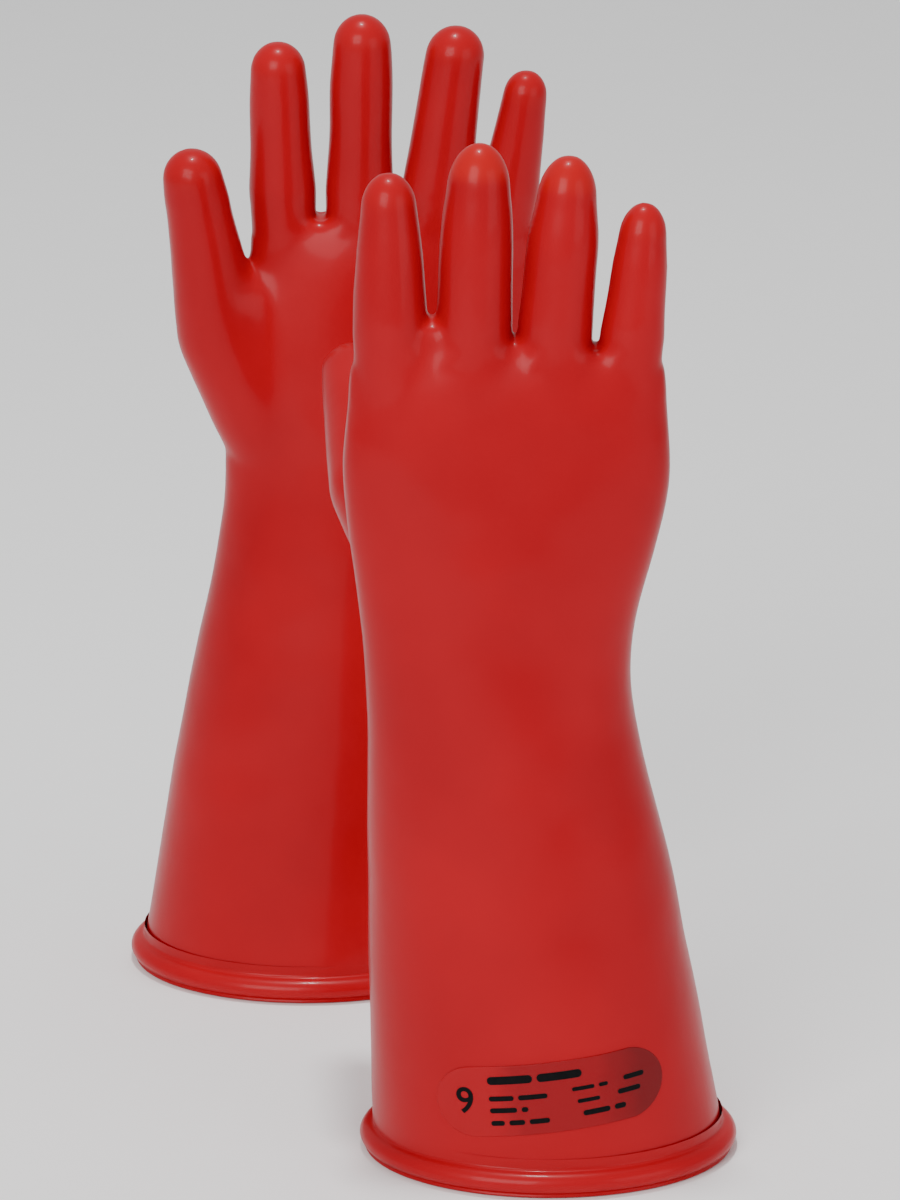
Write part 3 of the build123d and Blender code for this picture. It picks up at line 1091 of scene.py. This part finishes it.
def wrap_on_cuff(piece, side, sizes, lift, thickness):
    """Stand a flat piece against the back of the cuff, press it on and give it thickness."""
    back = -PALMWARD[side]
    middle = cuff_middle(side)
    turn = Matrix.Rotation(sizes.label_tilt, 4, "Z")
    upright = Matrix.Rotation(math.pi / 2, 4, "X")
    facing = Matrix.Rotation(0.0 if back < 0 else math.pi, 4, "Z")
    place = Matrix.Translation((middle.x, middle.y + back * LABEL_STANDOFF, sizes.label_rise))
    piece.matrix_world = place @ facing @ upright @ turn
    settle(piece)
    skin = bpy.data.objects[f"{side}_skin"]
    apply_modifier(
        piece,
        "SHRINKWRAP",
        target=skin,
        wrap_method="PROJECT",
        use_project_x=False,
        use_project_y=True,
        use_project_z=False,
        use_negative_direction=True,
        use_positive_direction=True,
        project_limit=PRESS_LIMIT,
        offset=lift,
    )
    apply_modifier(piece, "SOLIDIFY", thickness=thickness, offset=0.0)
    bpy.ops.object.shade_smooth_by_angle(angle=math.radians(40))


def make_label(side, sizes, materials):
    """The pill-shaped film and its print: a size numeral and blank lines."""
    width, height = sizes.label_width, sizes.label_height
    film = pill(f"{side}_label_film", width, height, (0, 0))
    cut_fine(film, LABEL_GRID)
    across = film.data.attributes.new("label_across", "FLOAT", "POINT")
    across.data.foreach_set("value", (points_of(film)[:, 0] / width + 0.5).astype(np.float32))
    wrap_on_cuff(film, side, sizes, sizes.film / 2, sizes.film)
    apply_modifier(film, "BEVEL", width=EDGE_ROUNDING, segments=2, limit_method="ANGLE")
    finish_with(film, materials["film"])
    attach(film, f"{side}_gauntlet")
    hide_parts(f"{side}_label")
    marks = [numeral(height * NUMERAL_HEIGHT, (width * NUMERAL_PLACE, 0.0))]
    for row, start, thick, words in PRINT_ROWS:
        left = start * width
        for word in words:
            length = word * width
            marks.append(pill("word", length, thick * height, (left + length / 2, row * height)))
            left += length + WORD_GAP * width
    ink = join(f"{side}_label_print", marks)
    cut_fine(ink, LABEL_GRID)
    wrap_on_cuff(ink, side, sizes, sizes.film + INK_LIFT, INK_LIFT)
    finish_with(ink, materials["ink"])
    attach(ink, f"{side}_gauntlet")


# ---------------------------------------------------------------- the studio

CAMERA_ELEVATION = math.radians(18)
CAMERA_DISTANCE = 2.736
CAMERA_AIM = (0.009, 0.0, -0.0107)  # from the middle of the pair
CAMERA_LENS = 316.0
FLOOR_SIZE = 12.0
FLOOR_TONE = 0.985  # of the floor's colour, where its grain is darkest

# Soft boxes: name, place, size and power
STUDIO_AIM = (0.0, 0.0, 0.18)
SOFT_BOXES = (
    ("key", (-0.9, -2.2, 1.6), 1.5, 46.0),
    ("fill", (1.9, -1.6, 0.9), 1.5, 10.0),
    ("top", (-0.05, 0.10, 2.2), 0.16, 26.0),
)
WORLD_STRENGTH = 0.6


def make_floor(colour):
    """A wide, plain, pale floor."""
    deselect()
    bpy.ops.mesh.primitive_plane_add(size=FLOOR_SIZE)
    floor = bpy.context.object
    floor.name = "studio_floor"
    material, nodes, links, shader = new_material("pale_floor")
    place = nodes.new("ShaderNodeTexCoord")
    grain = noise_at(nodes, links, place, 40.0, 2.0)
    tone = tuple(FLOOR_TONE * channel for channel in colour)
    links.new(mixed(nodes, links, grain.outputs["Fac"], tone, colour), shader.inputs["Base Color"])
    shader.inputs["Roughness"].default_value = 0.9
    floor.data.materials.append(material)


def soft_box(name, place, size, power):
    """A square area light that looks at the gloves."""
    light = bpy.data.lights.new(name, "AREA")
    light.shape = "RECTANGLE"
    light.size = size
    light.size_y = size
    light.energy = power
    lamp = bpy.data.objects.new(name, light)
    bpy.context.collection.objects.link(lamp)
    lamp.location = place
    lamp.rotation_euler = (Vector(STUDIO_AIM) - Vector(place)).to_track_quat("-Z", "Y").to_euler()


def make_camera():
    """A long lens, raised a little above the pair."""
    low, high = (Vector(corner) for corner in CAD_BOX)
    middle = (low + high) / 2
    aim = middle + Vector(CAMERA_AIM)
    back = Vector((0, -math.cos(CAMERA_ELEVATION), math.sin(CAMERA_ELEVATION)))
    data = bpy.data.cameras.new("camera")
    data.sensor_fit = "HORIZONTAL"
    data.sensor_width = 36.0
    data.lens = CAMERA_LENS
    data.clip_end = 50.0
    camera = bpy.data.objects.new("camera", data)
    bpy.context.collection.objects.link(camera)
    camera.location = aim + back * CAMERA_DISTANCE
    camera.rotation_euler = (-back).to_track_quat("-Z", "Y").to_euler()
    bpy.context.scene.camera = camera


# ---------------------------------------------------------------- operators and panel


class GLOVES_OT_skins(bpy.types.Operator):
    """Make the rubber skins of both gloves"""

    bl_idname = "gloves.skins"
    bl_label = "Rubber skins"

    def execute(self, context):
        scene = context.scene
        colours = scene.glove_colours
        materials = {
            "skin": rubber_material("glove_rubber", colours, SKIN_WAVES, False),
            # The fingers' rubber carries the painted highlight on their tips.
            "highlit_tips": rubber_material("finger_rubber_highlit", colours, SKIN_WAVES, True),
        }
        for side in SIDES:
            make_skin(side, scene.glove_sizes, materials)
        return {"FINISHED"}


class GLOVES_OT_beads(bpy.types.Operator):
    """Make the rolled bead of each cuff"""

    bl_idname = "gloves.beads"
    bl_label = "Cuff beads"

    def execute(self, context):
        scene = context.scene
        material = rubber_material("bead_rubber", scene.glove_colours, BEAD_WAVES, False)
        for side in SIDES:
            make_bead(side, scene.cuff_sizes, material)
        return {"FINISHED"}


class GLOVES_OT_labels(bpy.types.Operator):
    """Make the label on the back of each cuff"""

    bl_idname = "gloves.labels"
    bl_label = "Size labels"

    def execute(self, context):
        scene = context.scene
        colours = scene.glove_colours
        materials = {"film": film_material(colours), "ink": ink_material(colours)}
        for side in SIDES:
            make_label(side, scene.cuff_sizes, materials)
        return {"FINISHED"}


class GLOVES_OT_stage(bpy.types.Operator):
    """Make the floor, the lights and the camera"""

    bl_idname = "gloves.stage"
    bl_label = "Studio"

    def execute(self, context):
        scene = context.scene
        make_floor(scene.glove_colours.floor)
        for box in SOFT_BOXES:
            soft_box(*box)
        world = bpy.data.worlds.new("studio")
        scene.world = world
        world.use_nodes = True
        background = world.node_tree.nodes["Background"]
        background.inputs["Color"].default_value = (1.0, 1.0, 1.0, 1.0)
        background.inputs["Strength"].default_value = WORLD_STRENGTH
        make_camera()
        return {"FINISHED"}


class GLOVES_PT_panel(bpy.types.Panel):
    """Sizes, colours and steps"""

    bl_idname = "GLOVES_PT_panel"
    bl_label = "Insulating gloves"
    bl_space_type = "VIEW_3D"
    bl_region_type = "UI"
    bl_category = "Gloves"

    def draw(self, context):
        for group in (context.scene.glove_sizes, context.scene.cuff_sizes, context.scene.glove_colours):
            box = self.layout.box()
            for name in group.bl_rna.properties.keys():
                if name not in ("rna_type", "name"):
                    box.prop(group, name)
        for operator in STEPS:
            self.layout.operator(operator.bl_idname)


STEPS = (GLOVES_OT_skins, GLOVES_OT_beads, GLOVES_OT_labels, GLOVES_OT_stage)
GROUPS = {"glove_sizes": GloveSizes, "cuff_sizes": CuffSizes, "glove_colours": GloveColours}


def register():
    """Make the sizes, steps and panel known."""
    for group in GROUPS.values():
        bpy.utils.register_class(group)
    for name, group in GROUPS.items():
        setattr(bpy.types.Scene, name, bpy.props.PointerProperty(type=group))
    for one in (*STEPS, GLOVES_PT_panel):
        bpy.utils.register_class(one)


def unregister():
    """Forget the sizes, steps and panel."""
    for one in reversed((*STEPS, GLOVES_PT_panel)):
        bpy.utils.unregister_class(one)
    for name in GROUPS:
        delattr(bpy.types.Scene, name)
    for group in GROUPS.values():
        bpy.utils.unregister_class(group)


def main():
    """Make the gloves and the studio."""
    register()
    bpy.ops.gloves.skins()
    bpy.ops.gloves.beads()
    bpy.ops.gloves.labels()
    bpy.ops.gloves.stage()


if __name__ == "__main__":
    main()
